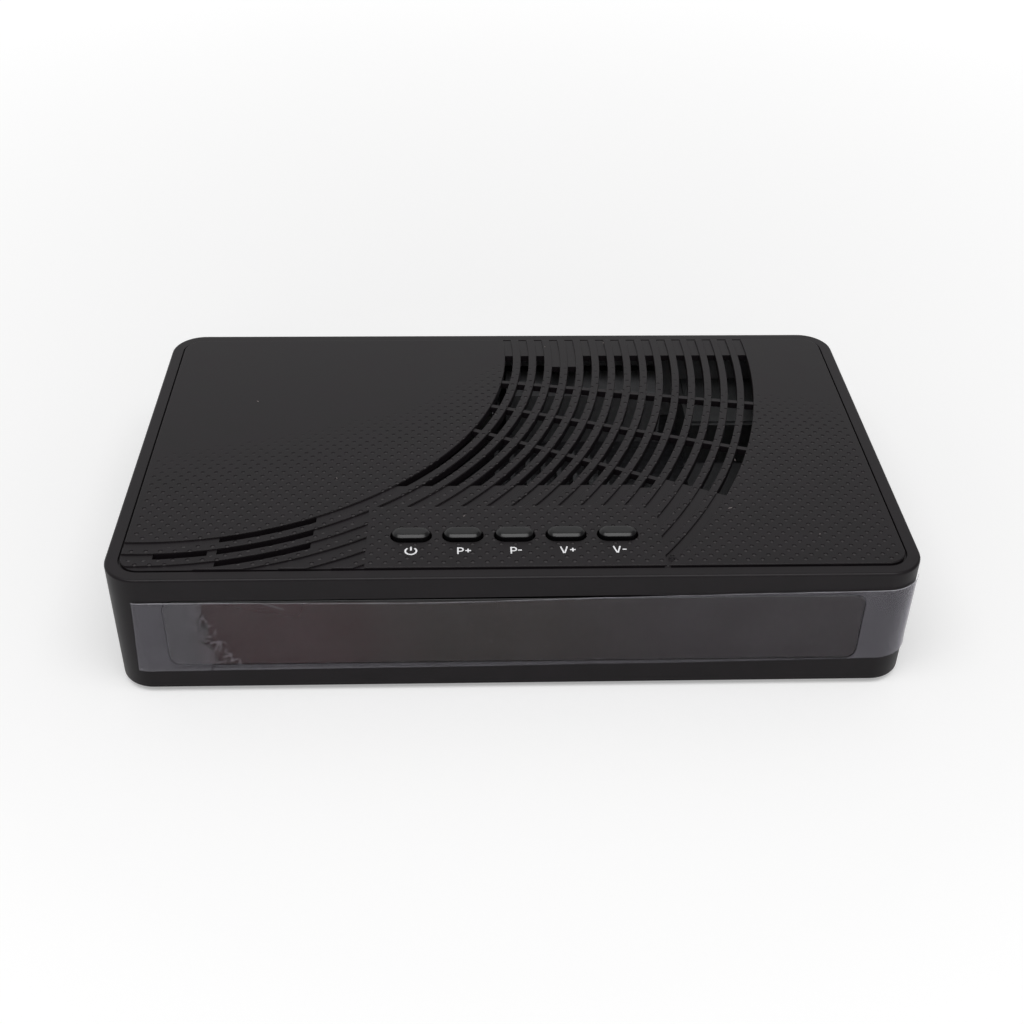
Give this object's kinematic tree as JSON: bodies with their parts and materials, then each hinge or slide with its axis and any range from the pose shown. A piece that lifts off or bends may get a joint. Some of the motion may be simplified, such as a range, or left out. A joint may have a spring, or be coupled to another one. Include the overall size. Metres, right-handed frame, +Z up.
{
  "type": "satellite tv receiver",
  "caption": "Compact black set-top satellite receiver with a slotted, dimpled top, push buttons, a smoked front window and sockets at the back.",
  "frame": {"origin": "on the shelf, under the middle of the whole outline", "axes": "+X to the right seen from the front, +Y to the back, +Z up"},
  "size_m": [0.2, 0.1284, 0.0379],
  "materials": {
    "case_plastic": "satin moulded black plastic",
    "rear_plastic": "fine matt black",
    "button_plastic": "satin black",
    "smoked_window": "smoked gloss acrylic",
    "clear_film": "milky clear film",
    "foot_rubber": "matt black rubber",
    "screw_steel": "zinc plated",
    "board_green": "green solder mask",
    "plated_can": "tin plated sheet steel",
    "nickel": "nickel plated brass",
    "socket_plastic": "black socket plastic",
    "chip_plastic": "matt epoxy",
    "bare_aluminium": "extruded aluminium",
    "capacitor_sleeve": "shrink sleeve",
    "ferrite": "dull ferrite",
    "display_plastic": "grey moulded display",
    "cable_white": "off-white flat cable"
  },
  "bodies": {
    "case": {"top_cover": "case_plastic", "base_case": "case_plastic", "rear_panel": "rear_plastic", "front_lens": "smoked_window", "protective_film": "clear_film", "foot_1": "foot_rubber", "foot_2": "foot_rubber", "foot_3": "foot_rubber", "foot_4": "foot_rubber", "case_screw_1": "screw_steel", "case_screw_2": "screw_steel", "case_screw_3": "screw_steel", "case_screw_4": "screw_steel", "main_board": "board_green", "board_screw_1": "screw_steel", "board_screw_2": "screw_steel", "board_screw_3": "screw_steel", "board_screw_4": "screw_steel", "tuner_can": "plated_can", "dish_in_socket": "nickel", "dish_in_nut": "nickel", "dish_out_socket": "nickel", "dish_out_nut": "nickel", "power_socket": "socket_plastic", "audio_socket": "socket_plastic", "media_socket": "plated_can", "network_socket": "plated_can", "video_socket": "plated_can", "television_socket": "socket_plastic", "processor": "chip_plastic", "heat_sink": "bare_aluminium", "memory_chip_1": "chip_plastic", "memory_chip_2": "chip_plastic", "flash_chip": "chip_plastic", "capacitor_1": "capacitor_sleeve", "capacitor_2": "capacitor_sleeve", "inductor": "ferrite", "card_reader": "socket_plastic", "display_board": "board_green", "display_module": "display_plastic", "infrared_receiver": "display_plastic", "display_cable": "cable_white", "key_board": "board_green", "key_cable": "cable_white", "power_switch": "plated_can", "channel_up_switch": "plated_can", "channel_down_switch": "plated_can", "volume_up_switch": "plated_can", "volume_down_switch": "plated_can"},
    "power_key": {"power_button": "button_plastic", "power_plunger": "socket_plastic"},
    "channel_up_key": {"channel_up_button": "button_plastic", "channel_up_plunger": "socket_plastic"},
    "channel_down_key": {"channel_down_button": "button_plastic", "channel_down_plunger": "socket_plastic"},
    "volume_up_key": {"volume_up_button": "button_plastic", "volume_up_plunger": "socket_plastic"},
    "volume_down_key": {"volume_down_button": "button_plastic", "volume_down_plunger": "socket_plastic"}
  },
  "joints": [
    {"name": "power_press", "type": "slide", "parent": "case", "child": "power_key", "axis": [0, 0, -1], "range_m": [0, 0.0005], "stiffness_N_per_m": 1500},
    {"name": "channel_up_press", "type": "slide", "parent": "case", "child": "channel_up_key", "axis": [0, 0, -1], "range_m": [0, 0.0005], "stiffness_N_per_m": 1500},
    {"name": "channel_down_press", "type": "slide", "parent": "case", "child": "channel_down_key", "axis": [0, 0, -1], "range_m": [0, 0.0005], "stiffness_N_per_m": 1500},
    {"name": "volume_up_press", "type": "slide", "parent": "case", "child": "volume_up_key", "axis": [0, 0, -1], "range_m": [0, 0.0005], "stiffness_N_per_m": 1500},
    {"name": "volume_down_press", "type": "slide", "parent": "case", "child": "volume_down_key", "axis": [0, 0, -1], "range_m": [0, 0.0005], "stiffness_N_per_m": 1500}
  ]
}
